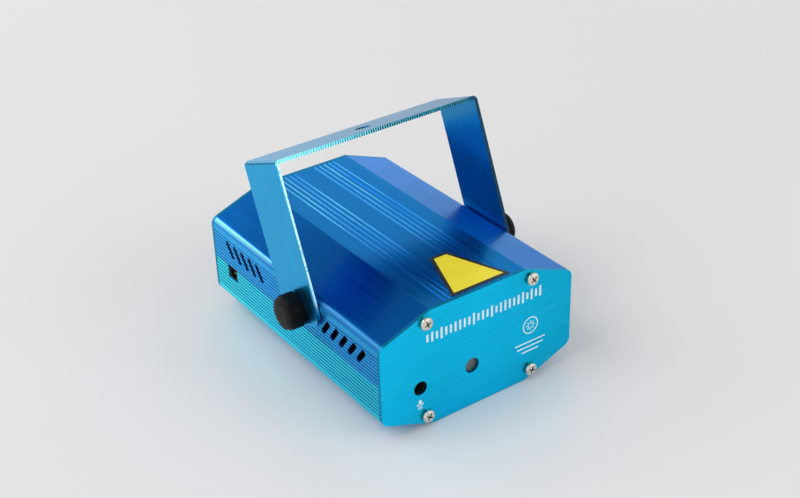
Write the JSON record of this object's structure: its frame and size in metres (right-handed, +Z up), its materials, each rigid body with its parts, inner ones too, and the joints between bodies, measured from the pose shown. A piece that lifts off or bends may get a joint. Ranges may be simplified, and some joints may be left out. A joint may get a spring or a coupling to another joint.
{
  "type": "laser show projector",
  "caption": "Compact stage laser effect: octagonal blue aluminium box with beam aperture, microphone, vents and fan, held in a tilting U bracket by thumbscrews.",
  "frame": {"origin": "centre of the housing's bottom face", "axes": "+Z up, -Y the way the beam leaves, +X to the right seen from the front; the bracket leans back at rest"},
  "size_m": [0.1124, 0.1384, 0.0952],
  "materials": {
    "blue_shell": "blue anodised extrusion",
    "blue_plate": "brushed cyan blue anodised sheet",
    "blue_bracket": "lengthwise brushed blue anodised strip",
    "bright_screw": "bright zinc plated",
    "sticker": "yellow vinyl film with a dark border",
    "black_knob": "satin moulded black",
    "steel": "plain turned steel",
    "window_glass": "clear",
    "mirror_coat": "dichroic coated",
    "raw_aluminium": "milled",
    "module_brass": "turned",
    "soft_rubber": "soft matt",
    "black_plastic": "moulded",
    "white_plastic": "moulded",
    "board_laminate": "green solder mask",
    "can_sleeve": "shrink sleeve",
    "switch_metal": "stamped sheet",
    "lead_jacket": "insulated lead",
    "tinned_wire": "tinned"
  },
  "bodies": {
    "housing": {"upper_shell": "blue_shell", "lower_shell": "blue_shell", "front_plate": "blue_plate", "rear_plate": "blue_plate", "front_plate_screws": "bright_screw", "rear_plate_screws": "bright_screw", "top_label": "sticker", "pivot_nuts": "steel", "aperture_window": "window_glass", "window_retainer": "raw_aluminium", "microphone": "raw_aluminium", "microphone_boot": "soft_rubber", "microphone_leads": "tinned_wire", "optics_base": "raw_aluminium", "floor_screws": "bright_screw", "block_screws": "bright_screw", "green_laser_module": "module_brass", "red_laser_module": "module_brass", "green_laser_block": "raw_aluminium", "red_laser_block": "raw_aluminium", "laser_grub_screws": "bright_screw", "combiner_mirror": "mirror_coat", "mirror_post": "raw_aluminium", "grating_holder": "raw_aluminium", "grating_motor": "steel", "control_board": "board_laminate", "board_posts": "raw_aluminium", "small_pan_screws": "bright_screw", "board_capacitors": "can_sleeve", "board_chips": "black_plastic", "board_headers": "white_plastic", "dc_jack": "black_plastic", "dc_jack_pin": "module_brass", "fan_frame": "black_plastic", "fan_screws": "bright_screw", "speed_pot": "switch_metal", "speed_nut": "steel", "mode_switch_body": "switch_metal", "switch_screws": "bright_screw", "laser_leads": "lead_jacket", "motor_leads": "lead_jacket", "control_leads": "lead_jacket"},
    "bracket": {"bracket": "blue_bracket"},
    "left_clamp": {"left_washer": "steel"},
    "left_thumbscrew": {"left_knob": "black_knob", "left_knob_stud": "steel"},
    "right_clamp": {"right_washer": "steel"},
    "right_thumbscrew": {"right_knob": "black_knob", "right_knob_stud": "steel"},
    "fan_wheel": {"fan_rotor": "black_plastic", "fan_shaft": "steel"},
    "grating": {"grating_wheel": "white_plastic", "grating_disc": "window_glass", "grating_retainer": "steel"},
    "motor_rotor": {"motor_shaft": "steel", "motor_pinion": "white_plastic"},
    "speed_dial": {"speed_knob": "black_knob", "speed_shaft": "steel"},
    "mode_lever": {"mode_switch_lever": "black_plastic"}
  },
  "joints": [
    {"name": "bracket_tilt", "type": "hinge", "parent": "housing", "child": "bracket", "pos_m": [0, -0.01, 0.0356], "axis": [1, 0, 0], "range_deg": [-38, 124]},
    {"name": "left_knob_turn", "type": "hinge", "parent": "left_clamp", "child": "left_thumbscrew", "pos_m": [0, -0.01, 0.0356], "axis": [-1, 0, 0], "range_deg": [0, 720]},
    {"name": "left_clamp_slide", "type": "slide", "parent": "housing", "child": "left_clamp", "axis": [-1, 0, 0], "range_m": [0, 0.0015]},
    {"name": "right_knob_turn", "type": "hinge", "parent": "right_clamp", "child": "right_thumbscrew", "pos_m": [0, -0.01, 0.0356], "axis": [1, 0, 0], "range_deg": [0, 720]},
    {"name": "right_clamp_slide", "type": "slide", "parent": "housing", "child": "right_clamp", "axis": [1, 0, 0], "range_m": [0, 0.0015]},
    {"name": "fan_spin", "type": "hinge", "parent": "housing", "child": "fan_wheel", "pos_m": [0, 0.056, 0.02575], "axis": [0, 1, 0], "continuous": true},
    {"name": "grating_spin", "type": "hinge", "parent": "housing", "child": "grating", "pos_m": [-0.0036, -0.0535, 0.0185], "axis": [0, 1, 0], "continuous": true},
    {"name": "motor_spin", "type": "hinge", "parent": "housing", "child": "motor_rotor", "pos_m": [0.0095, -0.0535, 0.0185], "axis": [0, 1, 0], "continuous": true},
    {"name": "speed_turn", "type": "hinge", "parent": "housing", "child": "speed_dial", "pos_m": [0.0322, 0.068, 0.02575], "axis": [0, 1, 0], "range_deg": [-150, 150]},
    {"name": "mode_slide", "type": "slide", "parent": "housing", "child": "mode_lever", "axis": [0, 0, 1], "range_m": [-0.0022, 0.0022]}
  ],
  "couplings": [
    {"joint": "left_clamp_slide", "follows": "left_knob_turn", "m_per_rad": 0.00011141},
    {"joint": "right_clamp_slide", "follows": "right_knob_turn", "m_per_rad": 0.00011141},
    {"joint": "motor_spin", "follows": "grating_spin", "ratio": -3.3333}
  ]
}
